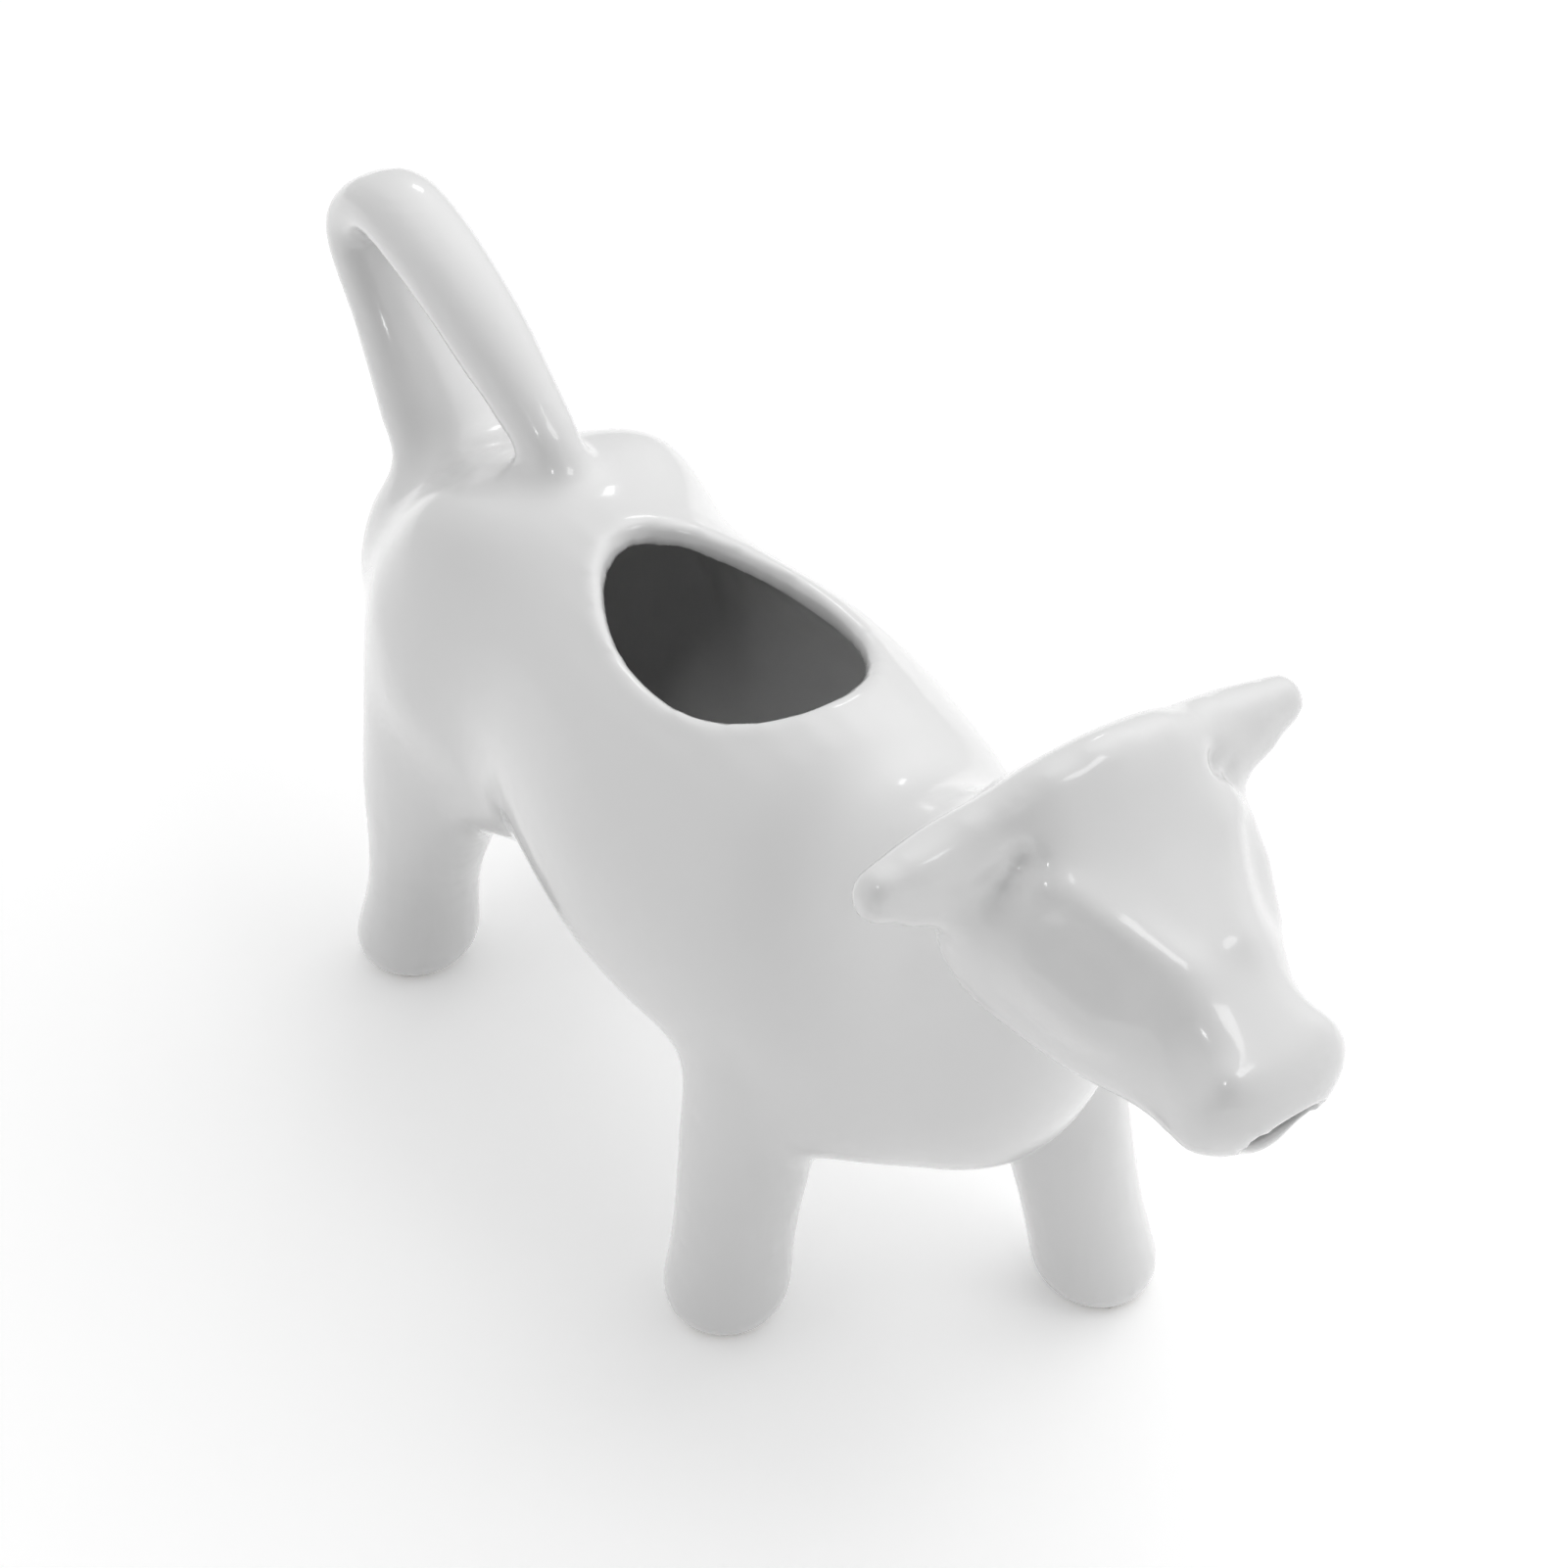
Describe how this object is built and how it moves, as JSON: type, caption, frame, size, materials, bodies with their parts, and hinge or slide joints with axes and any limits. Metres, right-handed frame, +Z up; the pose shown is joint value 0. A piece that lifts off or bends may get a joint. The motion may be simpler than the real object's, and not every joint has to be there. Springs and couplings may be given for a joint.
{
  "type": "cow creamer",
  "caption": "Glazed porcelain cream jug shaped as a standing cow, filled through an oval hole in its back, held by its looped tail and poured through its open mouth.",
  "frame": {"origin": "on the table plane under the feet, below the middle of the creamer's bounding box", "axes": "+X along the body towards the mouth, +Y towards the cow's left side, +Z up"},
  "size_m": [0.183, 0.059, 0.1053],
  "materials": {
    "glaze": "clear gloss glaze over white porcelain"
  },
  "bodies": {
    "root": {"barrel_shell": "glaze", "head_shell": "glaze", "left_ear": "glaze", "right_ear": "glaze", "tail_handle": "glaze", "front_left_leg": "glaze", "front_right_leg": "glaze", "hind_left_leg": "glaze", "hind_right_leg": "glaze"}
  },
  "joints": []
}
